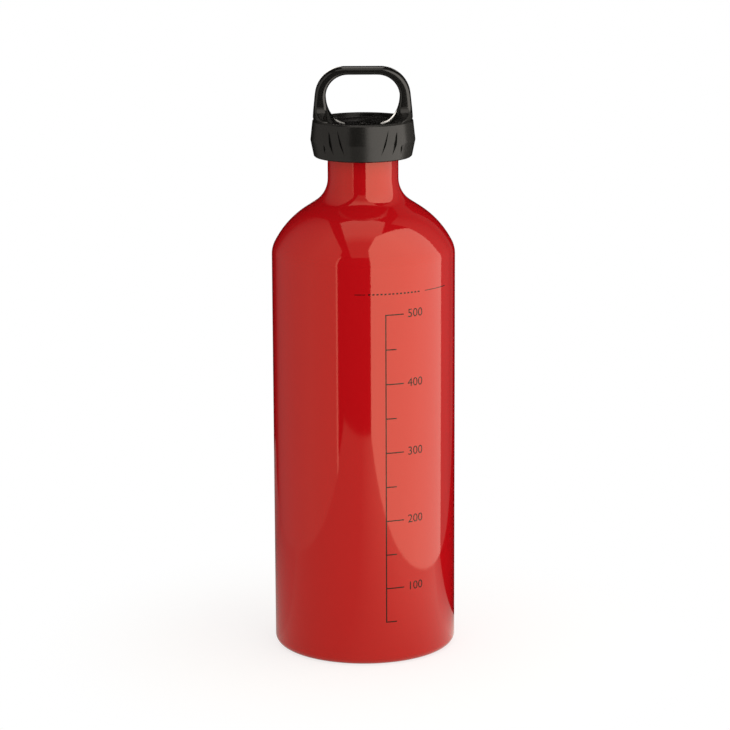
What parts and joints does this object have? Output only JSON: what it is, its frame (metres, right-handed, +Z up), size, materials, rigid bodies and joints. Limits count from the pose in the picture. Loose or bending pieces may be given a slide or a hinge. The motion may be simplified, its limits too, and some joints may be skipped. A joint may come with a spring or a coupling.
{
  "type": "camping fuel bottle",
  "caption": "Round-shouldered metal bottle for liquid stove fuel, with a narrow threaded neck and a push-and-turn cap that carries a fixed loop handle.",
  "frame": {"origin": "middle of the base, on the plane that the bottle stands on", "axes": "+Z up along the bottle's axis; X across the loop handle; -Y is the front that the picture shows"},
  "size_m": [0.071, 0.071, 0.2285],
  "materials": {
    "red_paint": "gloss red enamel on drawn aluminium",
    "seal_rubber": "smooth fuel-proof rubber",
    "plug_plastic": "moulded, semi-matte",
    "spring_steel": "bright drawn wire",
    "washer_steel": "stamped, plain",
    "gloss_black": "polished moulding",
    "matte_black": "fine spark-eroded texture",
    "ring_plastic": "moulded, semi-matte"
  },
  "bodies": {
    "bottle": {"bottle_shell": "red_paint"},
    "seal": {"seal_ring": "seal_rubber"},
    "plug": {"threaded_plug": "plug_plastic", "spring": "spring_steel"},
    "washer": {"thrust_washer": "washer_steel"},
    "cap": {"handle_cap": "gloss_black", "grip_skirt": "matte_black", "retaining_ring": "ring_plastic"}
  },
  "joints": [
    {"name": "cap_lift", "type": "slide", "parent": "bottle", "child": "seal", "axis": [0, 0, 1], "range_m": [0, 0.0175]},
    {"name": "cap_turn", "type": "hinge", "parent": "seal", "child": "plug", "pos_m": [0, 0, 0.19], "axis": [0, 0, 1], "range_deg": [0, 1801]},
    {"name": "cap_push", "type": "slide", "parent": "plug", "child": "washer", "axis": [0, 0, -1], "range_m": [0, 0.0016], "stiffness_N_per_m": 1000, "springref_m": -0.001, "deforming": ["spring"]},
    {"name": "cap_free_spin", "type": "hinge", "parent": "washer", "child": "cap", "pos_m": [0, 0, 0.2048], "axis": [0, 0, 1], "continuous": true}
  ],
  "couplings": [
    {"joint": "cap_turn", "follows": "cap_lift", "rad_per_m": 1795.2}
  ]
}
